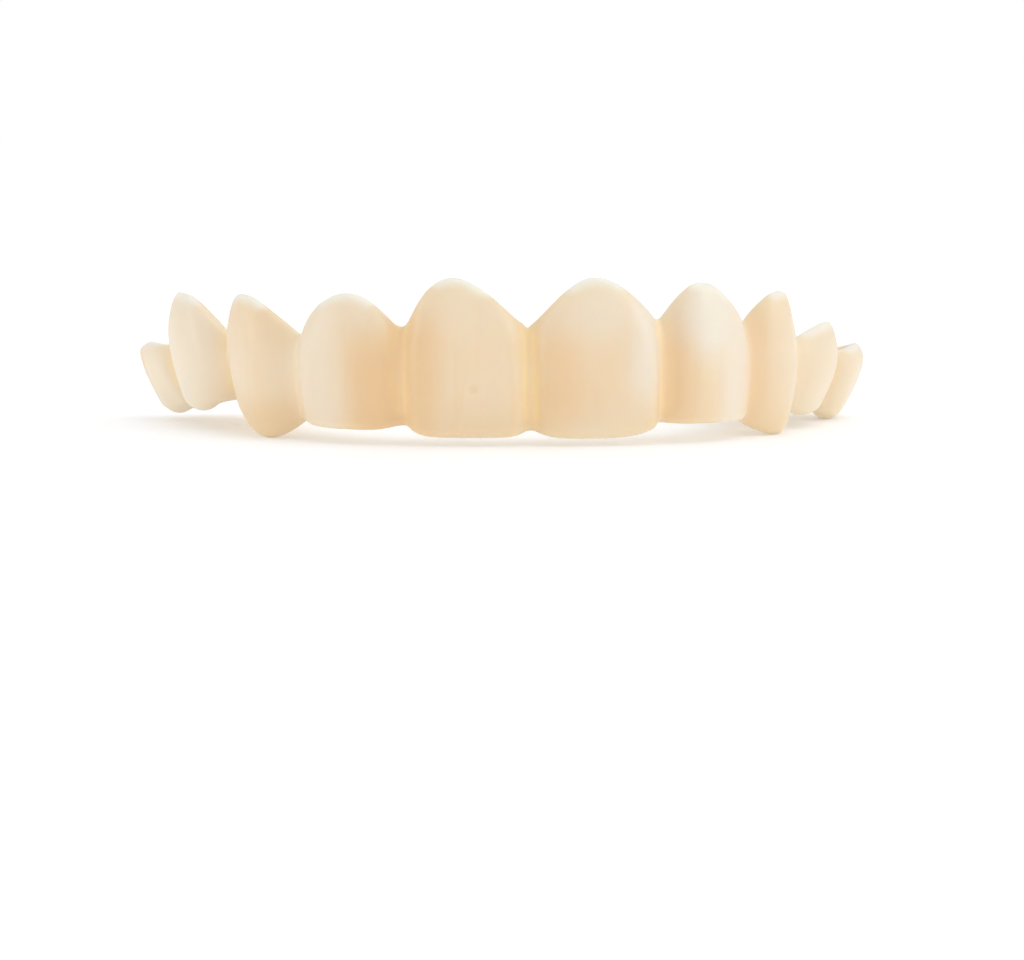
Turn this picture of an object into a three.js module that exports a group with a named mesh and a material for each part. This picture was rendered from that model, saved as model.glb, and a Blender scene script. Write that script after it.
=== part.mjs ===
// A clip-on dental veneer for the upper arch: ten hollow tooth caps moulded in one piece of resin.
// It lies on its biting edges. X runs to the wearer's left, -Y is the visible front, +Z points to the gums.
import * as THREE from "three";

// Driving sizes in millimetres
const archHalfWidth = 27.2; // midline to the widest point of the labial line
const archDepth = 24; // front of the labial line to its two ends
const crownHeight = 11.35; // table to the highest gum edge
const capThickness = 9.6; // cheek side to tongue side of a premolar cap
const biteEdge = 1.3; // thickness of a central cap's biting edge
const biteLean = 0.8; // how far a central cap's biting edge leans in
const faceWall = 0.85; // wall behind the visible faces
const tongueWall = 0.8; // wall on the tongue side
const rimWall = 0.5; // both free rims
const biteWall = 1.1; // least material under the floor of the clip channel
const contactDepth = 1.25; // groove between two caps, measured in from the labial line
const tongueGroove = 0.7; // groove between two caps on the tongue side
const tongueDip = 0.55; // how far the tongue-side rim dips at a contact
const webWidth = 0.8; // flat web at the bottom of each groove
const gumCurlDepth = 0.55; // how far the gum edge turns in
const endWall = 0.4; // least wall between the channel and the foot of the rounded end
const endBulge = 1.9; // how far the last cap bulges out behind its channel

// How finely the surface is divided
const stationsPerCap = 16;
const faceSteps = 9;
const tongueSteps = 2;
const wallSteps = 4;
const endSteps = 6;

// Shape of the labial line: a power curve, squarer than a parabola
const archPower = 3;

// Contacts from the wearer's right to left. along: share of half the arch's length from the midline, at the
// table; slant: what is added to it at crownHeight. gum and bite: heights of the notches above and below the
// contact, as shares of crownHeight. web, groove and tongue: shares of webWidth, contactDepth, tongueGroove.
// level: how much of the web's top is level, 0 for a sharp notch.
const contacts = [
  { along: -0.95, slant: 0.0, gum: 0.49, bite: 0.05, web: 0.0, level: 1.0, groove: 0.0, tongue: 0.3 },
  { along: -0.85, slant: 0.0, gum: 0.5, bite: 0.12, web: 0.8, level: 1.0, groove: 1.1, tongue: 1.0 },
  { along: -0.65, slant: 0.01, gum: 0.57, bite: 0.25, web: 0.8, level: 1.0, groove: 1.15, tongue: 1.0 },
  { along: -0.448, slant: 0.01, gum: 0.635, bite: 0.115, web: 0.7, level: 1.0, groove: 1.0, tongue: 1.0 },
  { along: -0.222, slant: -0.002, gum: 0.7, bite: 0.109, web: 1.0, level: 1.0, groove: 1.0, tongue: 1.0 },
  { along: 0.012, slant: -0.012, gum: 0.69, bite: 0.083, web: 0.7, level: 0.0, groove: 0.95, tongue: 1.0 },
  { along: 0.263, slant: -0.025, gum: 0.742, bite: 0.12, web: 0.8, level: 1.0, groove: 1.0, tongue: 1.0 },
  { along: 0.482, slant: -0.045, gum: 0.69, bite: 0.1, web: 0.8, level: 1.0, groove: 1.0, tongue: 1.0 },
  { along: 0.641, slant: -0.015, gum: 0.55, bite: 0.15, web: 0.8, level: 1.0, groove: 1.1, tongue: 1.0 },
  { along: 0.843, slant: 0.0, gum: 0.45, bite: 0.085, web: 0.8, level: 1.0, groove: 1.1, tongue: 1.0 },
  { along: 0.97, slant: 0.0, gum: 0.475, bite: 0.02, web: 0.0, level: 1.0, groove: 0.0, tongue: 0.3 },
];

// Caps between those contacts. Places are shares of the cap's width from its first contact and heights are
// shares of crownHeight. domeA and domeB: how full the gum edge rises on each side. pointA and pointB: how
// the biting edge drops to its tip, high for a flat edge. roundA and roundB: width of the rounded sides.
// insetA and insetB: how far each side of the face is set in. stand: how far its middle stands out. ridge:
// how far the face falls away on each side of the line from the gum edge's apex to the tip. These four are
// shares of contactDepth. lean: share of biteLean. belly: where the face stands out most, down from the gum
// edge.
const caps = [
  { form: "premolar", apexAt: 0.2, apex: 0.505, domeA: 2.0, domeB: 1.3,
    tipAt: 0.22, tip: 0.04, pointA: 1.8, pointB: 1.3, roundA: 0.34, roundB: 0.3,
    insetA: 0.0, insetB: 0.0, stand: 0.0, ridge: 0.25, lean: 2.55, belly: 0.1 },
  { form: "premolar", apexAt: 0.47, apex: 0.84, domeA: 7.0, domeB: 1.15,
    tipAt: 0.56, tip: 0.105, pointA: 1.8, pointB: 1.1, roundA: 0.14, roundB: 0.36,
    insetA: 0.0, insetB: 0.2, stand: 0.25, ridge: 0.35, lean: 1.55, belly: 0.4 },
  { form: "canine", apexAt: 0.4, apex: 0.862, domeA: 6.0, domeB: 1.1,
    tipAt: 0.66, tip: 0.0, pointA: 2.2, pointB: 2.0, roundA: 0.18, roundB: 0.36,
    insetA: 0.0, insetB: 0.3, stand: 0.0, ridge: 0.4, lean: 1.35, belly: 0.3 },
  { form: "lateral", apexAt: 0.6, apex: 0.897, domeA: 2.2, domeB: 2.0,
    tipAt: 0.55, tip: 0.086, pointA: 3.0, pointB: 4.0, roundA: 0.24, roundB: 0.2,
    insetA: 0.1, insetB: 0.1, stand: 0.0, ridge: 0.1, lean: 1.0, belly: 0.3 },
  { form: "central", apexAt: 0.4, apex: 0.997, domeA: 2.1, domeB: 1.45,
    tipAt: 0.5, tip: 0.05, pointA: 5.0, pointB: 6.0, roundA: 0.15, roundB: 0.14,
    insetA: 0.0, insetB: 0.0, stand: 0.0, ridge: 0.05, lean: 1.0, belly: 0.32 },
  { form: "central", apexAt: 0.49, apex: 1.0, domeA: 1.4, domeB: 1.75,
    tipAt: 0.42, tip: 0.045, pointA: 5.0, pointB: 3.2, roundA: 0.17, roundB: 0.16,
    insetA: 0.0, insetB: 0.0, stand: 0.0, ridge: 0.05, lean: 1.0, belly: 0.32 },
  { form: "lateral", apexAt: 0.38, apex: 0.965, domeA: 1.8, domeB: 1.6,
    tipAt: 0.45, tip: 0.113, pointA: 4.0, pointB: 5.0, roundA: 0.26, roundB: 0.2,
    insetA: 0.3, insetB: 0.0, stand: 0.0, ridge: 0.12, lean: 1.1, belly: 0.3 },
  { form: "canine", apexAt: 0.52, apex: 0.895, domeA: 1.6, domeB: 2.3,
    tipAt: 0.58, tip: 0.0, pointA: 2.2, pointB: 2.4, roundA: 0.38, roundB: 0.28,
    insetA: 0.4, insetB: 0.0, stand: 0.0, ridge: 0.4, lean: 1.35, belly: 0.45 },
  { form: "premolar", apexAt: 0.6, apex: 0.668, domeA: 1.6, domeB: 2.5,
    tipAt: 0.45, tip: 0.07, pointA: 1.5, pointB: 1.5, roundA: 0.34, roundB: 0.26,
    insetA: 0.2, insetB: 0.0, stand: 0.0, ridge: 0.3, lean: 1.9, belly: 0.4 },
  { form: "premolar", apexAt: 0.85, apex: 0.49, domeA: 1.3, domeB: 2.0,
    tipAt: 0.42, tip: 0.0, pointA: 1.4, pointB: 1.8, roundA: 0.3, roundB: 0.34,
    insetA: 0.0, insetB: 0.0, stand: 0.15, ridge: 0.2, lean: 2.2, belly: 0.2 },
];

// Each kind of cap from its biting edge round to its tongue-side rim. In: share of capThickness in from the
// labial line. Up: share of crownHeight above the table. edge: share of biteEdge. The fossa is the hollow
// between the biting edge and the tongue-side cusp.
const forms = {
  central: { edge: 1.0, fossaUp: 0.17, cuspIn: 0.55, cuspUp: 0.3, bellyIn: 0.69, bellyUp: 0.39,
    rimIn: 0.705, rimUp: 0.465, floorIn: 0.31, floorUp: 0.185 },
  lateral: { edge: 0.96, fossaUp: 0.18, cuspIn: 0.52, cuspUp: 0.31, bellyIn: 0.65, bellyUp: 0.39,
    rimIn: 0.675, rimUp: 0.46, floorIn: 0.3, floorUp: 0.195 },
  canine: { edge: 0.9, fossaUp: 0.17, cuspIn: 0.62, cuspUp: 0.27, bellyIn: 0.79, bellyUp: 0.38,
    rimIn: 0.8, rimUp: 0.46, floorIn: 0.4, floorUp: 0.2 },
  premolar: { edge: 1.2, fossaUp: 0.17, cuspIn: 0.79, cuspUp: 0.112, bellyIn: 1.0, bellyUp: 0.26,
    rimIn: 0.96, rimUp: 0.38, floorIn: 0.8, floorUp: 0.265 },
};

// Where the face profile hands over to the rounding of the biting edge, as a share of the face's height
const faceEnd = 0.94;
// How much wider the rounded sides are at the gum edge than at the biting edge
const neckTaper = 0.6;
// How widely the gum edge is rounded at its apex, as a share of that side of the cap
const apexRound = 0.2;
// How far the grooves on the tongue side spread into a cap, as a share of its width
const tongueSpread = 0.4;
// How steeply the gum rim falls towards the channel
const rimBevel = 0.45;
// Steepest rise of the fossa behind the biting edge
const fossaSlope = 0.45;
// How full the rounded ends are: 1 for an ellipse, less for a squarer end
const endFullness = 0.75;
// How closely the sections crowd towards the contacts, from 0 for evenly spaced
const crowding = 0.7;

// The labial line, seen from above
class LabialLine extends THREE.Curve {
  getPoint(t, target = new THREE.Vector3()) {
    const side = 2 * t - 1;
    return target.set(side * archHalfWidth, archDepth * Math.abs(side) ** archPower, 0);
  }
}

const labialLine = new LabialLine();
labialLine.arcLengthDivisions = 2000;
const halfLength = labialLine.getLength() / 2;

const { lerp, clamp, smoothstep } = THREE.MathUtils;

// 0 away from a contact, 1 at it: a rounded shoulder with a steep foot
function shoulder(distance, radius) {
  const near = 1 - clamp(distance / radius, 0, 1);
  return 0.5 * (1 - Math.sqrt(1 - near * near)) + 0.5 * near ** 3;
}

// The channel's wall behind that shoulder: gentler, and wider by the wall
function innerShoulder(distance, radius) {
  return smoothstep(radius + faceWall - distance, 0, radius + faceWall);
}

// How far the gum edge has fallen at a share of the way from its apex to a contact
function domeFall(away, power) {
  const rounded = (share) => Math.hypot(share, apexRound) ** power - apexRound ** power;
  return rounded(away) / rounded(1);
}

// Mixes the named columns of two rows
function mixRows(a, b, share) {
  return Object.fromEntries(Object.keys(a).map((key) => [key, lerp(a[key], b[key], share)]));
}

// A cap's form, lean and belly at share t of its width: its own in the middle, and at a contact half of its
// neighbour's
function blendAt(index, t) {
  const own = caps[index];
  const neighbour = caps[t < 0.5 ? index - 1 : index + 1] ?? own;
  const share = 0.5 * smoothstep(Math.abs(2 * t - 1), 0.15, 1);
  return {
    form: mixRows(forms[own.form], forms[neighbour.form], share),
    lean: lerp(own.lean, neighbour.lean, share) * biteLean,
    belly: lerp(own.belly, neighbour.belly, share),
  };
}

// Everything that a section needs at share t of a cap
function stationAt(index, t) {
  const cap = caps[index];
  const [contactA, contactB] = [contacts[index], contacts[index + 1]];
  const width = (contactB.along - contactA.along) * halfLength;
  const [webA, webB] = [0.5 * contactA.web * webWidth, 0.5 * contactB.web * webWidth];
  const fromA = Math.max(t * width - webA, 0);
  const fromB = Math.max((1 - t) * width - webB, 0);
  const s = fromA / (fromA + fromB);
  // The gum edge rises from the ends of the webs' level tops
  const riseA = Math.max(t * width - webA * contactA.level, 0);
  const riseB = Math.max((1 - t) * width - webB * contactB.level, 0);
  const g = riseA / (riseA + riseB);
  const gum =
    g < cap.apexAt
      ? lerp(cap.apex, contactA.gum, domeFall(1 - g / cap.apexAt, cap.domeA))
      : lerp(cap.apex, contactB.gum, domeFall((g - cap.apexAt) / (1 - cap.apexAt), cap.domeB));
  const bite =
    s < cap.tipAt
      ? lerp(cap.tip, contactA.bite, (1 - s / cap.tipAt) ** cap.pointA)
      : lerp(cap.tip, contactB.bite, ((s - cap.tipAt) / (1 - cap.tipAt)) ** cap.pointB);
  const recess = (v, profile) => {
    const ridgeAt = lerp(cap.apexAt, cap.tipAt, v);
    const fromRidge = s < ridgeAt ? 1 - s / ridgeAt : (s - ridgeAt) / (1 - ridgeAt);
    const widen = 1 + neckTaper * (1 - v) ** 2;
    const sideA = profile(fromA, cap.roundA * width * widen);
    const sideB = profile(fromB, cap.roundB * width * widen);
    const inset = lerp(cap.insetA, cap.insetB, s) * (2 * s - 1) ** 2;
    const middle = inset + cap.ridge * fromRidge ** 1.5 - cap.stand;
    const share = contactA.groove * sideA + contactB.groove * sideB;
    return contactDepth * (share + middle * (1 - Math.min(sideA + sideB, 1)));
  };
  const backA = (1 - clamp(fromA / (tongueSpread * width), 0, 1)) ** 2;
  const backB = (1 - clamp(fromB / (tongueSpread * width), 0, 1)) ** 2;
  const atEnd = index === 0 ? t * width : index === caps.length - 1 ? (1 - t) * width : Infinity;
  return {
    along: lerp(contactA.along, contactB.along, t),
    slant: lerp(contactA.slant, contactB.slant, t),
    gum: gum * crownHeight,
    bite: bite * crownHeight,
    recess,
    tongueRecess: tongueGroove * (contactA.tongue * backA + contactB.tongue * backB),
    dip: tongueDip * Math.max(backA, backB),
    open: smoothstep(atEnd, endWall, endWall + rimWall),
    ...blendAt(index, t),
  };
}

// A point of the face, v down from the gum edge: x is the distance in, y the height
function facePoint(station, v, profile = shoulder) {
  const curl = gumCurlDepth * clamp(1 - v / station.belly, 0, 1) ** 2;
  const lean = station.lean * clamp((v - station.belly) / (1 - station.belly), 0, 1) ** 1.5;
  return new THREE.Vector2(station.recess(v, profile) + curl + lean, lerp(station.gum, station.bite, v));
}

// One closed section through the cap's wall
function sectionAt(station) {
  const { form, bite, gum, tongueRecess } = station;
  const height = gum - bite;
  const edge = form.edge * biteEdge;
  const tip = facePoint(station, 1).x;
  const inwards = (share) => Math.max(share * capThickness - tongueRecess, tip + edge);
  const upwards = (share) => share * crownHeight;
  const cusp = new THREE.Vector2(inwards(form.cuspIn), Math.max(upwards(form.cuspUp), bite));
  const hollow = cusp.x - tip - edge;
  const rim = new THREE.Vector2(inwards(form.rimIn), upwards(form.rimUp) - station.dip);

  const face = [];
  for (let i = 0; i <= faceSteps; i++) face.push(facePoint(station, (faceEnd * i) / faceSteps));

  const round = new THREE.SplineCurve([
    face.at(-1),
    new THREE.Vector2(tip + 0.2 * edge, bite + 0.03 * edge),
    new THREE.Vector2(tip + 0.65 * edge, bite),
    new THREE.Vector2(tip + edge, bite + 0.25 * edge),
    new THREE.Vector2(
      tip + edge + 0.45 * hollow,
      clamp(upwards(form.fossaUp), bite + 0.3 * edge, bite + 0.3 * edge + fossaSlope * hollow),
    ),
    cusp,
    new THREE.Vector2(inwards(form.bellyIn), upwards(form.bellyUp)),
    rim,
  ]).getPoints(7 * tongueSteps);

  // Where the tongue side stands at a height, walking down from its rim
  const tongueAt = (up) => {
    const below = Math.max(round.findLastIndex((p) => p.y <= up), 0);
    const [low, high] = [round[below], round[Math.min(below + 1, round.length - 1)]];
    return lerp(low.x, high.x, clamp((up - low.y) / (high.y - low.y || 1), 0, 1));
  };

  const floor = Math.max(upwards(form.floorUp), bite + biteWall);
  const floorFront = facePoint(station, (gum - floor) / height, innerShoulder).x + faceWall;
  const floorBack = Math.min(form.floorIn * capThickness - tongueRecess, tongueAt(floor) - 1.3 * tongueWall);
  const halfway = (rim.y + floor) / 2;
  const channel = [
    new THREE.Vector2(rim.x - rimWall, rim.y),
    new THREE.Vector2(tongueAt(halfway) - tongueWall, halfway),
    new THREE.Vector2(Math.max(floorBack, floorFront + rimWall), floor),
  ];
  for (let i = 0; i <= wallSteps; i++) {
    const v = lerp((gum - floor) / height, 0, i / wallSteps);
    const nearRim = (i / wallSteps) ** 2;
    const point = facePoint(station, v, innerShoulder);
    const inner = point.x + lerp(faceWall, rimWall, nearRim);
    channel.push(new THREE.Vector2(inner, point.y - rimBevel * nearRim * (inner - face[0].x)));
  }
  // The channel ends in a wall: there its points lie on the line between the two rims
  const [tongueSide, faceSide] = [channel[0].clone(), channel.at(-1).clone()];
  channel.forEach((point, i) => {
    const top = tongueSide.clone().lerp(faceSide, i / (channel.length - 1));
    point.lerp(top, 1 - station.open);
  });
  return [...face, ...round.slice(1), ...channel];
}

// Places a section across the labial line, moved out past the line's end where asked
function placeSection(section, { along, slant }, past = 0) {
  return section.map((p) => {
    const t = clamp((1 + along + (slant * p.y) / crownHeight) / 2, 0, 1);
    const tangent = labialLine.getTangentAt(t);
    const inward = new THREE.Vector3(-tangent.y, tangent.x, 0);
    return labialLine.getPointAt(t).addScaledVector(tangent, past).addScaledVector(inward, p.x).setZ(p.y);
  });
}

// The bulging end: the last section shrinks towards its middle as it moves out
function endSections(section, station) {
  const box = new THREE.Box2().setFromPoints(section);
  const middle = box.getCenter(new THREE.Vector2());
  const past = Math.sign(station.along) * endBulge;
  const rows = [];
  for (let i = 1; i < endSteps; i++) {
    const angle = (Math.PI / 2) * (i / endSteps);
    const scale = Math.cos(angle) ** endFullness;
    const shrunk = section.map((p) => p.clone().sub(middle).multiplyScalar(scale).add(middle));
    rows.push(placeSection(shrunk, station, past * Math.sin(angle)));
  }
  const [pole] = placeSection([middle], station, past);
  return { rows, pole };
}

// All the sections from one end of the arch to the other, with the poles of both ends
function allSections() {
  const sections = [];
  caps.forEach((cap, index) => {
    for (let i = index === 0 ? 0 : 1; i <= stationsPerCap; i++) {
      const even = i / stationsPerCap;
      const station = stationAt(index, lerp(even, (1 - Math.cos(Math.PI * even)) / 2, crowding));
      sections.push([sectionAt(station), station]);
    }
  });
  const first = endSections(...sections[0]);
  const last = endSections(...sections.at(-1));
  const rows = sections.map(([section, station]) => placeSection(section, station));
  return { rows: [...first.rows.reverse(), ...rows, ...last.rows], poles: [first.pole, last.pole] };
}

// Skins the sections, closes both ends and stands the solid on its lowest points
function skin({ rows, poles }) {
  const ring = rows[0].length;
  const positions = [...rows.flat(), ...poles].flatMap((p) => [p.x, p.y, p.z]);
  const faces = [];
  for (let r = 0; r + 1 < rows.length; r++)
    for (let k = 0; k < ring; k++) {
      const [a, b] = [r * ring + k, r * ring + ((k + 1) % ring)];
      const [c, d] = [a + ring, b + ring];
      faces.push(a, b, c, b, d, c);
    }
  const last = (rows.length - 1) * ring;
  const [poleA, poleB] = [rows.length * ring, rows.length * ring + 1];
  for (let k = 0; k < ring; k++) {
    const next = (k + 1) % ring;
    faces.push(poleA, next, k, poleB, last + k, last + next);
  }
  const geometry = new THREE.BufferGeometry();
  geometry.setAttribute("position", new THREE.Float32BufferAttribute(positions, 3));
  geometry.setIndex(faces);
  geometry.computeBoundingBox();
  const { min, max } = geometry.boundingBox;
  geometry.translate(-(min.x + max.x) / 2, -(min.y + max.y) / 2, -min.z);
  geometry.computeVertexNormals();
  return geometry;
}

const resin = new THREE.MeshStandardMaterial({ color: 0xf0dcbb, roughness: 0.35, metalness: 0 });
const veneer = new THREE.Group();
const shell = new THREE.Mesh(skin(allSections()), resin);
shell.name = "veneer_shell";
veneer.add(shell);

export default veneer;
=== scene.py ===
"""A clip-on veneer for the upper teeth: one arch of cream resin caps, on its biting tips."""

import math

import bmesh
import bpy
from mathutils import Matrix, Vector
from mathutils.bvhtree import BVHTree
from mathutils.kdtree import KDTree


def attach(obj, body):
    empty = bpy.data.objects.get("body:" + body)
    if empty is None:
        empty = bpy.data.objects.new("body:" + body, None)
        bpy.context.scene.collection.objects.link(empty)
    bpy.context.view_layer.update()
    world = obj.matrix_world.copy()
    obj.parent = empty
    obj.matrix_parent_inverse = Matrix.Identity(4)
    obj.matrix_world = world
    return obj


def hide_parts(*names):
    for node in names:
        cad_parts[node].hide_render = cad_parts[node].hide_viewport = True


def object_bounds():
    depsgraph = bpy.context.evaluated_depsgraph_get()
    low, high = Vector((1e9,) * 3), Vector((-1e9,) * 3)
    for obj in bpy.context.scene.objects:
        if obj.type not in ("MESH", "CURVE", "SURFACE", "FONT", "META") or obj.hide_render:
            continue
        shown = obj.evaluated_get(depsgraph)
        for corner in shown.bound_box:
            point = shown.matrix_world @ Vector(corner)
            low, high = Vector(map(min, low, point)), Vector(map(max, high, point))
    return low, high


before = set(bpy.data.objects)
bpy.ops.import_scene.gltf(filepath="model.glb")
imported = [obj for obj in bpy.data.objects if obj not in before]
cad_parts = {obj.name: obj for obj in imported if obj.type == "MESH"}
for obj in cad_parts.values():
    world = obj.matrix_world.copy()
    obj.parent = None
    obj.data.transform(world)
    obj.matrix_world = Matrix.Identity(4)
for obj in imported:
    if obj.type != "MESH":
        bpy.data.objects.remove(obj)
cad_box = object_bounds()

MM = 0.001

# Camera: where it stands from the front of the arch's footprint, and where that point shows
FRONT_POINT = Vector((-0.143, -13.601, 0.036)) * MM
CAMERA_DISTANCE = 220 * MM
CAMERA_AZIMUTH = math.radians(-4.5)
CAMERA_ELEVATION = math.radians(5.6)
CAMERA_ROLL = math.radians(0.27)
IMAGE_SIZE = (1024, 960)
FRONT_PIXEL = (527, 448)
FOCAL_PIXELS = 3300
SENSOR_WIDTH = 36
NEAREST_SHOWN = 10 * MM

# The moulded surface: how close two corners lie to be welded, how far two triangles may bend or skew
# and still make one four-sided face, and how many times the faces are rounded
WELD_DISTANCE = 0.001 * MM
QUAD_ANGLE = math.radians(50)
SHELL_LEVELS = 2

# Shelter, how closed in a point is: how far it looks round, in how fine a set of directions, how far
# off the skin it starts, and how nearly along the skin it looks
SHELTER_REACH = 4.0 * MM
LOOK_FINENESS = 3
SKIN_CLEARANCE = 0.02 * MM
GRAZING = 0.15

# The rims that point to the gums: they face up, above the channel's floor, and lie in the open. Each
# unit of shelter counts as SHELTER_COST millimetres farther from a rim
RIM_FACING_UP = 0.75
CHANNEL_FLOOR_TOP = 3.3 * MM
CREST_SHELTER = 0.08
SHELTER_COST = 9

# Shallow upright furrows on the four front caps: centre and half width of each cap in mm along X;
# where its furrows lie and how wide they are, as shares of that half width; how deep they are; and
# between which heights they fade. They are pressed in where the skin faces the front, in the open
FURROWED_CAPS = ((-4.34, 3.95), (4.66, 4.25), (-12.0, 2.9), (12.2, 2.7))
FURROW_PLACE = 0.34
FURROW_SPREAD = 0.15
FURROW_DEPTH = 0.07 * MM
FURROW_FOOT = 1.2 * MM
FURROW_TOP = 7.5 * MM
FURROW_ROUNDNESS = 0.7
FURROW_FACING = 0.4
FURROW_SHELTER = 0.25

# A burst bubble in the face of the central cap on the -X side
BUBBLE_PLACE = Vector((-3.7, -13.22, 3.95)) * MM
BUBBLE_RADIUS = 0.36 * MM
BUBBLE_DEPTH = 0.1 * MM
BUBBLE_FACING = 0.7

# Amber and pale patches on the outer faces, partly the resin's own tone and partly painted light:
# the amber patches paint shade on sides that turn from the light or lie in a neighbouring cap's
# shade, the pale ones paint sheen where the faces catch the light. Each row gives which of the two
# it is; x and
# half: centre and half width of the patch in mm, low and high: its foot and top in mm, share: how
# strong it is
TONE_AND_LIGHT_PATCHES = (
    {"patch_tint": "amber", "x": -10.2, "half": 1.9, "low": -1.0, "high": 8.2, "share": 0.9},
    {"patch_tint": "amber", "x": -7.5, "half": 1.6, "low": -1.0, "high": 9.8, "share": 0.8},
    {"patch_tint": "amber", "x": -4.0, "half": 3.6, "low": -1.0, "high": 3.6, "share": 0.35},
    {"patch_tint": "amber", "x": 1.9, "half": 1.6, "low": 0.5, "high": 8.6, "share": 0.65},
    {"patch_tint": "amber", "x": 10.1, "half": 1.4, "low": 0.5, "high": 8.6, "share": 0.7},
    {"patch_tint": "amber", "x": 16.1, "half": 1.0, "low": -1.0, "high": 10.0, "share": 0.45},
    {"patch_tint": "amber", "x": -17.2, "half": 2.6, "low": -1.0, "high": 3.4, "share": 0.75},
    {"patch_tint": "amber", "x": 17.2, "half": 2.2, "low": -1.0, "high": 3.0, "share": 0.4},
    {"patch_tint": "pale", "x": -11.3, "half": 2.6, "low": 6.6, "high": 14.0, "share": 0.5},
    {"patch_tint": "pale", "x": -4.5, "half": 3.6, "low": 7.0, "high": 15.0, "share": 0.3},
    {"patch_tint": "pale", "x": 4.7, "half": 3.4, "low": 6.0, "high": 15.0, "share": 0.5},
    {"patch_tint": "pale", "x": 22.5, "half": 4.8, "low": -1.0, "high": 13.0, "share": 0.35},
    {"patch_tint": "pale", "x": 8.2, "half": 1.5, "low": 2.0, "high": 12.0, "share": 0.8},
    {"patch_tint": "pale", "x": 12.6, "half": 2.4, "low": 4.6, "high": 13.0, "share": 1.0},
    {"patch_tint": "pale", "x": 14.5, "half": 1.2, "low": -1.0, "high": 13.0, "share": 0.75},
    {"patch_tint": "pale", "x": -14.2, "half": 1.8, "low": -1.0, "high": 12.0, "share": 0.5},
    {"patch_tint": "pale", "x": -23.5, "half": 3.8, "low": -1.0, "high": 13.0, "share": 0.5},
)
# How soon a patch fades at its foot and top in mm, how abruptly it does at its sides, and how far
# round to the back the outer faces go
PATCH_FADE = 2.4
PATCH_SQUARENESS = 3
OUTER_FACING = -0.1

# Brightness of the white tent round the table, on the camera's side and on the others, and between
# which directions along Y it changes
TENT_FRONT = 0.52
TENT_SIDES = 0.77
TENT_CHANGE = (-1, 0.2)
# The table glows, a painted light that softens the shadow and whitens the far table: its glow near
# the arch and far from it, and the distances between which that changes
GLOW_NEAR = (0.2, 0.205, 0.21, 1)
GLOW_FAR = (0.56, 0.58, 0.6, 1)
GLOW_REACH = (60 * MM, 350 * MM)
TABLE_WHITE = (0.91, 0.92, 0.94, 1)
TABLE_ROUGHNESS = 0.6
TABLE_HALF_SIZE = 3

# Softboxes: where each stands in metres, its side in metres and its power in watts
SOFTBOXES = {
    "top_light": ((0.2, -0.1, 0.9), 0.7, 1.75),
    "left_light": ((-0.95, -0.2, 0.15), 0.35, 0.9),
    "right_light": ((0.8, -0.45, 0.35), 0.35, 1.2),
}

WHITE = (1, 1, 1, 1)
BLACK = (0, 0, 0, 1)

# Resin colours, linear. The groove amber is painted warm light; the pale and the amber colour serve
# patches of resin tone with painted sheen and painted shade, and the amber serves the streaks too
CREAM = (0.9, 0.755, 0.54, 1)
CREAM_DEEP = (0.89, 0.72, 0.48, 1)
PALE_TONE_AND_SHEEN = (0.91, 0.84, 0.72, 1)
AMBER_TONE_AND_SHADE = (0.87, 0.62, 0.34, 1)
GROOVE_PAINTED_LIGHT = (0.99, 0.79, 0.45, 1)
EDGE_WHITE = (0.96, 0.92, 0.84, 1)
# Painted glow in the grooves, standing in for light that comes through the thin webs from behind
WEB_LIGHT = (0.085, 0.078, 0.055, 1)
BUBBLE_BROWN = (0.74, 0.55, 0.34, 1)

# How many finer layers a noise has, in broad patterns and in fine ones
BROAD_DETAIL = 2
FINE_DETAIL = 3

# Clouds and upright streaks: noise cells per metre, the part of the noise that shows, and its share
CLOUD_CELLS = 140
CLOUD_RANGE = (0.35, 0.7)
STREAK_CELLS = 1100
STREAK_RANGE = (0.5, 0.75)
STREAK_STRETCH = (1, 1, 0.12)
STREAK_SHARE = 0.22

# Shelter over which the grooves' amber, a painted warm light, comes in, millimetres from the rim
# over which the edge pales, and distances from the bubble's middle over which it darkens, each with
# its strength
GROOVE_RANGE = (0.06, 0.5)
GROOVE_SHARE = 0.9
EDGE_RANGE = (1.1, 0.1)
EDGE_SHARE = 0.85
BUBBLE_RANGE = (1.1 * BUBBLE_RADIUS, 0.7 * BUBBLE_RADIUS)
BUBBLE_SHARE = 0.2

# Satin gloss and the light inside the resin
POLISH_CELLS = 900
ROUGHNESS_RANGE = (0.27, 0.4)
RIPPLE_CELLS = 2600
RIPPLE_HEIGHT = 0.02 * MM
RIPPLE_STRENGTH = 0.12
RESIN_IOR = 1.49
MILKINESS = 0.6
SCATTER_RADIUS = (1.0, 0.7, 0.4)
SCATTER_DEPTH = 0.8 * MM


def link(piece):
    """Puts a piece into the scene."""
    bpy.context.scene.collection.objects.link(piece)
    return piece


def mesh_object(name, shape):
    """A named object made of a bmesh, which it uses up."""
    mesh = bpy.data.meshes.new(name)
    shape.to_mesh(mesh)
    shape.free()
    return link(bpy.data.objects.new(name, mesh))


# ---- the resin arch


def welded_copy(node):
    """The CAD node's faces as one welded skin of four-sided faces."""
    shape = bmesh.new()
    shape.from_mesh(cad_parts[node].data)
    bmesh.ops.remove_doubles(shape, verts=shape.verts, dist=WELD_DISTANCE)
    bmesh.ops.join_triangles(
        shape,
        faces=shape.faces,
        angle_face_threshold=QUAD_ANGLE,
        angle_shape_threshold=QUAD_ANGLE,
    )
    for face in shape.faces:
        face.smooth = True
    return shape


def look_directions():
    """Even directions all round, from the corners of a ball."""
    ball = bmesh.new()
    bmesh.ops.create_icosphere(ball, subdivisions=LOOK_FINENESS, radius=1)
    directions = [vert.co.normalized() for vert in ball.verts]
    ball.free()
    return directions


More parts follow.
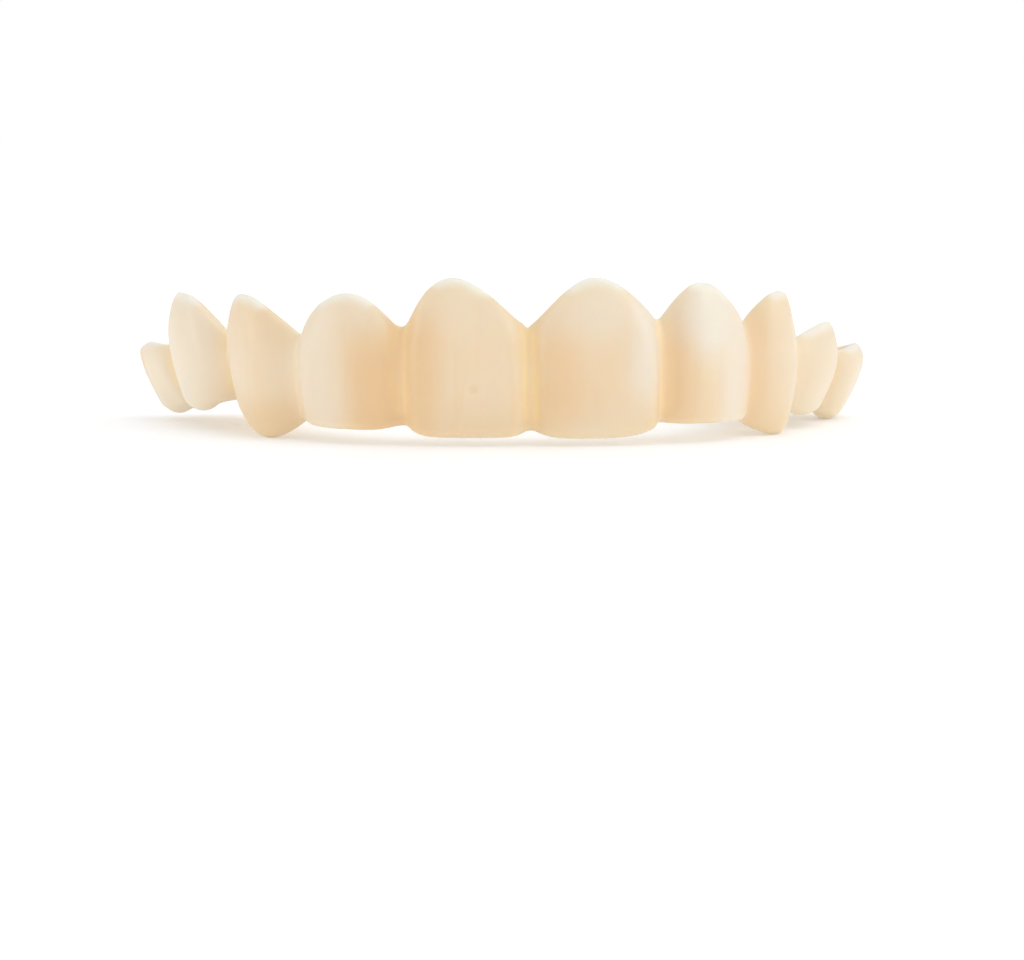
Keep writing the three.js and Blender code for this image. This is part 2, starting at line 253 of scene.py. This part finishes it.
def store_shelter(shape):
    """Stores at each point how closed in it is: 0 in the open, 1 deep in a hollow."""
    tree = BVHTree.FromBMesh(shape)
    directions = look_directions()
    shelter = shape.verts.layers.float.new("shelter")
    shape.normal_update()
    for vert in shape.verts:
        above = [d for d in directions if d.dot(vert.normal) > GRAZING]
        start = vert.co + vert.normal * SKIN_CLEARANCE
        closed = 0
        for direction in above:
            distance = tree.ray_cast(start, direction, SHELTER_REACH)[3]
            if distance is not None:
                closed += 1 - distance / SHELTER_REACH
        vert[shelter] = closed / len(above)


def store_rim(shape):
    """Stores how far each point is, in millimetres, from the thin rims that point to the gums."""
    shelter = shape.verts.layers.float["shelter"]
    rims = [
        v
        for v in shape.verts
        if v.normal.z > RIM_FACING_UP and v[shelter] < CREST_SHELTER and v.co.z > CHANNEL_FLOOR_TOP
    ]
    places = KDTree(len(rims))
    for index, vert in enumerate(rims):
        places.insert(vert.co, index)
    places.balance()
    rim = shape.verts.layers.float.new("rim")
    for vert in shape.verts:
        vert[rim] = places.find(vert.co)[2] / MM + SHELTER_COST * vert[shelter]


def store_tone_and_light_patches(shape):
    """Stores how strong the amber and the pale patches are at each point of the outer faces: resin
    tone with painted shade and painted sheen.
    """
    layers = {name: shape.verts.layers.float.new(name) for name in ("amber", "pale")}
    for vert in shape.verts:
        if -vert.normal.y < OUTER_FACING:
            continue
        x, z = vert.co.x / MM, vert.co.z / MM
        for patch in TONE_AND_LIGHT_PATCHES:
            across = math.exp(-(abs((x - patch["x"]) / patch["half"]) ** PATCH_SQUARENESS))
            up = min(max(min(z - patch["low"], patch["high"] - z) / PATCH_FADE, 0), 1)
            patch_tint = layers[patch["patch_tint"]]
            vert[patch_tint] = max(vert[patch_tint], patch["share"] * across * up)


def finer(piece, levels):
    """A bmesh of the piece with its faces rounded into finer ones; the coarse piece is removed."""
    rounding = piece.modifiers.new("rounding", "SUBSURF")
    rounding.levels = levels
    rounding.render_levels = levels
    shape = bmesh.new()
    shape.from_object(piece, bpy.context.evaluated_depsgraph_get())
    bpy.data.objects.remove(piece)
    return shape


def restore_height(shape):
    """Stretches the arch back to the CAD's height: rounding takes a little off its thin crests."""
    heights = [vert.co.z for vert in shape.verts]
    low, high = min(heights), max(heights)
    foot, top = cad_box[0][2], cad_box[1][2]
    for vert in shape.verts:
        vert.co.z = foot + (vert.co.z - low) * (top - foot) / (high - low)


def press_furrows(shape):
    """Presses two shallow upright furrows into the face of each front cap."""
    shelter = shape.verts.layers.float["shelter"]
    shape.normal_update()
    for vert in shape.verts:
        if -vert.normal.y < FURROW_FACING or vert[shelter] > FURROW_SHELTER:
            continue
        rise = (vert.co.z - FURROW_FOOT) / (FURROW_TOP - FURROW_FOOT)
        fade = math.sin(math.pi * min(max(rise, 0), 1)) ** FURROW_ROUNDNESS
        for centre, half_width in FURROWED_CAPS:
            across = abs(vert.co.x / MM - centre) / half_width
            press = math.exp(-(((across - FURROW_PLACE) / FURROW_SPREAD) ** 2))
            vert.co -= vert.normal * FURROW_DEPTH * fade * press


def dent_bubble(shape):
    """Dents the bubble into the face, where the skin looks to the front."""
    for vert in shape.verts:
        if -vert.normal.y < BUBBLE_FACING:
            continue
        away = math.hypot(vert.co.x - BUBBLE_PLACE.x, vert.co.z - BUBBLE_PLACE.z) / BUBBLE_RADIUS
        if away < 1:
            vert.co -= vert.normal * BUBBLE_DEPTH * (1 - away**2) ** 2


def moulded_arch():
    """The arch as it comes from the mould: the CAD skin, rounded between its faces."""
    shape = welded_copy("veneer_shell")
    store_shelter(shape)
    store_rim(shape)
    store_tone_and_light_patches(shape)
    shape = finer(mesh_object("coarse_arch", shape), SHELL_LEVELS)
    restore_height(shape)
    press_furrows(shape)
    dent_bubble(shape)
    arch = mesh_object("moulded_arch", shape)
    arch.data.materials.clear()
    arch.data.materials.append(resin_material())
    return arch


# ---- the resin's look


def add_node(material, kind, **settings):
    """A node in a material, with its settings."""
    node = material.node_tree.nodes.new(kind)
    for label, value in settings.items():
        setattr(node, label, value)
    return node


def attribute(material, name):
    """A value that is stored at each point of the surface."""
    return add_node(material, "ShaderNodeAttribute", attribute_name=name).outputs["Fac"]


def smooth_mask(material, source, low, high):
    """0 where source is at low, 1 where it is at high, smooth between."""
    mask = add_node(material, "ShaderNodeMapRange", interpolation_type="SMOOTHSTEP")
    mask.inputs["From Min"].default_value = low
    mask.inputs["From Max"].default_value = high
    material.node_tree.links.new(source, mask.inputs["Value"])
    return mask.outputs["Result"]


def scaled(material, source, factor):
    """source times a number."""
    product = add_node(material, "ShaderNodeMath", operation="MULTIPLY")
    product.inputs[1].default_value = factor
    material.node_tree.links.new(source, product.inputs[0])
    return product.outputs["Value"]


def tinted(material, mask, under, over):
    """The colour over laid on the colour under where the mask is 1."""
    mix = add_node(material, "ShaderNodeMix", data_type="RGBA")
    material.node_tree.links.new(mask, mix.inputs["Factor"])
    for socket, colour in ((mix.inputs["A"], under), (mix.inputs["B"], over)):
        if isinstance(colour, tuple):
            socket.default_value = colour
        else:
            material.node_tree.links.new(colour, socket)
    return mix.outputs["Result"]


def noise(material, place, scale, detail):
    """Soft noise in the solid, with scale in cells per metre."""
    texture = add_node(material, "ShaderNodeTexNoise")
    texture.inputs["Scale"].default_value = scale
    texture.inputs["Detail"].default_value = detail
    material.node_tree.links.new(place, texture.inputs["Vector"])
    return texture.outputs["Fac"]


def resin_material():
    """Cream dental resin: milky, pale at thin edges, satin; painted light in the grooves, painted
    shade and sheen in patches.
    """
    material = bpy.data.materials.new("cream_resin")
    material.use_nodes = True
    links = material.node_tree.links
    shader = material.node_tree.nodes["Principled BSDF"]
    place = add_node(material, "ShaderNodeTexCoord").outputs["Object"]

    cloud = smooth_mask(material, noise(material, place, CLOUD_CELLS, BROAD_DETAIL), *CLOUD_RANGE)
    body = tinted(material, cloud, CREAM, CREAM_DEEP)
    upright = add_node(material, "ShaderNodeMapping")
    upright.inputs["Scale"].default_value = STREAK_STRETCH
    links.new(place, upright.inputs["Vector"])
    fibres = noise(material, upright.outputs["Vector"], STREAK_CELLS, BROAD_DETAIL)
    streaks = smooth_mask(material, fibres, *STREAK_RANGE)
    body = tinted(material, scaled(material, streaks, STREAK_SHARE), body, AMBER_TONE_AND_SHADE)
    # The pale and amber patches: resin tone, with painted sheen and painted shade
    body = tinted(material, attribute(material, "pale"), body, PALE_TONE_AND_SHEEN)
    body = tinted(material, attribute(material, "amber"), body, AMBER_TONE_AND_SHADE)
    # Painted warm light: the grooves turn amber where they are closed in
    grooves = smooth_mask(material, attribute(material, "shelter"), *GROOVE_RANGE)
    body = tinted(material, scaled(material, grooves, GROOVE_SHARE), body, GROOVE_PAINTED_LIGHT)
    edges = smooth_mask(material, attribute(material, "rim"), *EDGE_RANGE)
    body = tinted(material, scaled(material, edges, EDGE_SHARE), body, EDGE_WHITE)
    away = add_node(material, "ShaderNodeVectorMath", operation="DISTANCE")
    away.inputs[1].default_value = BUBBLE_PLACE
    links.new(place, away.inputs[0])
    bubble = smooth_mask(material, away.outputs["Value"], *BUBBLE_RANGE)
    body = tinted(material, scaled(material, bubble, BUBBLE_SHARE), body, BUBBLE_BROWN)
    links.new(body, shader.inputs["Base Color"])

    # Painted glow: the grooves give off a little light of their own
    links.new(tinted(material, grooves, BLACK, WEB_LIGHT), shader.inputs["Emission Color"])
    shader.inputs["Emission Strength"].default_value = 1

    rough = add_node(material, "ShaderNodeMapRange")
    rough.inputs["To Min"].default_value, rough.inputs["To Max"].default_value = ROUGHNESS_RANGE
    links.new(noise(material, place, POLISH_CELLS, FINE_DETAIL), rough.inputs["Value"])
    links.new(rough.outputs["Result"], shader.inputs["Roughness"])

    ripple = add_node(material, "ShaderNodeBump")
    ripple.inputs["Strength"].default_value = RIPPLE_STRENGTH
    ripple.inputs["Distance"].default_value = RIPPLE_HEIGHT
    links.new(noise(material, place, RIPPLE_CELLS, FINE_DETAIL), ripple.inputs["Height"])
    links.new(ripple.outputs["Normal"], shader.inputs["Normal"])

    shader.inputs["IOR"].default_value = RESIN_IOR
    shader.inputs["Subsurface Weight"].default_value = MILKINESS
    shader.inputs["Subsurface Radius"].default_value = SCATTER_RADIUS
    shader.inputs["Subsurface Scale"].default_value = SCATTER_DEPTH
    return material


# ---- stage, lights and camera


def stage_floor():
    """A plain white table top with a painted glow, which turns brighter away from the arch."""
    shape = bmesh.new()
    bmesh.ops.create_grid(shape, x_segments=1, y_segments=1, size=TABLE_HALF_SIZE)
    floor = mesh_object("floor", shape)
    material = bpy.data.materials.new("white_table")
    material.use_nodes = True
    shader = material.node_tree.nodes["Principled BSDF"]
    shader.inputs["Base Color"].default_value = TABLE_WHITE
    shader.inputs["Roughness"].default_value = TABLE_ROUGHNESS
    shader.inputs["Emission Strength"].default_value = 1
    place = add_node(material, "ShaderNodeTexCoord").outputs["Object"]
    away = add_node(material, "ShaderNodeVectorMath", operation="LENGTH")
    material.node_tree.links.new(place, away.inputs[0])
    far = smooth_mask(material, away.outputs["Value"], *GLOW_REACH)
    glow = tinted(material, far, GLOW_NEAR, GLOW_FAR)
    material.node_tree.links.new(glow, shader.inputs["Emission Color"])
    floor.data.materials.append(material)


def softbox(name, place, size, power):
    """A large square light aimed at the arch."""
    light = bpy.data.lights.new(name, "AREA")
    light.shape = "SQUARE"
    light.size = size
    light.energy = power
    lamp = link(bpy.data.objects.new(name, light))
    lamp.location = place
    lamp.rotation_euler = Vector(place).to_track_quat("Z", "Y").to_euler()


def light_tent():
    """White all round, darker on the camera's side, and plain white as a backdrop."""
    world = bpy.data.worlds.new("light_tent")
    world.use_nodes = True
    nodes, links = world.node_tree.nodes, world.node_tree.links
    tent = nodes["Background"]
    direction = nodes.new("ShaderNodeTexCoord")
    split = nodes.new("ShaderNodeSeparateXYZ")
    links.new(direction.outputs["Generated"], split.inputs["Vector"])
    depth = nodes.new("ShaderNodeMapRange")
    depth.inputs["From Min"].default_value, depth.inputs["From Max"].default_value = TENT_CHANGE
    depth.inputs["To Min"].default_value = TENT_FRONT
    depth.inputs["To Max"].default_value = TENT_SIDES
    links.new(split.outputs["Y"], depth.inputs["Value"])
    links.new(depth.outputs["Result"], tent.inputs["Strength"])
    backdrop = nodes.new("ShaderNodeBackground")
    seen = nodes.new("ShaderNodeLightPath")
    choice = nodes.new("ShaderNodeMixShader")
    links.new(seen.outputs["Is Camera Ray"], choice.inputs["Fac"])
    links.new(tent.outputs["Background"], choice.inputs[1])
    links.new(backdrop.outputs["Background"], choice.inputs[2])
    links.new(choice.outputs["Shader"], nodes["World Output"].inputs["Surface"])
    backdrop.inputs["Color"].default_value = WHITE
    tent.inputs["Color"].default_value = WHITE
    return world


def photo_camera():
    """The camera at the photograph's angle, with the front point at its place in the picture."""
    data = bpy.data.cameras.new("camera")
    data.sensor_width = SENSOR_WIDTH
    data.lens = FOCAL_PIXELS * SENSOR_WIDTH / IMAGE_SIZE[0]
    data.clip_start = NEAREST_SHOWN
    camera = link(bpy.data.objects.new("camera", data))
    back = Vector((
        math.sin(CAMERA_AZIMUTH) * math.cos(CAMERA_ELEVATION),
        -math.cos(CAMERA_AZIMUTH) * math.cos(CAMERA_ELEVATION),
        math.sin(CAMERA_ELEVATION),
    ))
    off_axis = Vector((
        (FRONT_PIXEL[0] - IMAGE_SIZE[0] / 2) / FOCAL_PIXELS,
        (IMAGE_SIZE[1] / 2 - FRONT_PIXEL[1]) / FOCAL_PIXELS,
        -1,
    ))
    aimed = back.to_track_quat("Z", "Y").to_matrix()
    rolled = Matrix.Rotation(CAMERA_ROLL, 3, "Z")
    offset = off_axis.rotation_difference(Vector((0, 0, -1))).to_matrix()
    camera.matrix_world = Matrix.Translation(FRONT_POINT + back * CAMERA_DISTANCE) @ (
        aimed @ rolled @ offset
    ).to_4x4()
    return camera


arch = moulded_arch()
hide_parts("veneer_shell")
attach(arch, "root")
stage_floor()
for light_name, settings in SOFTBOXES.items():
    softbox(light_name, *settings)
bpy.context.scene.world = light_tent()
bpy.context.scene.view_settings.view_transform = "Standard"
bpy.context.scene.camera = photo_camera()

bpy.context.view_layer.update()
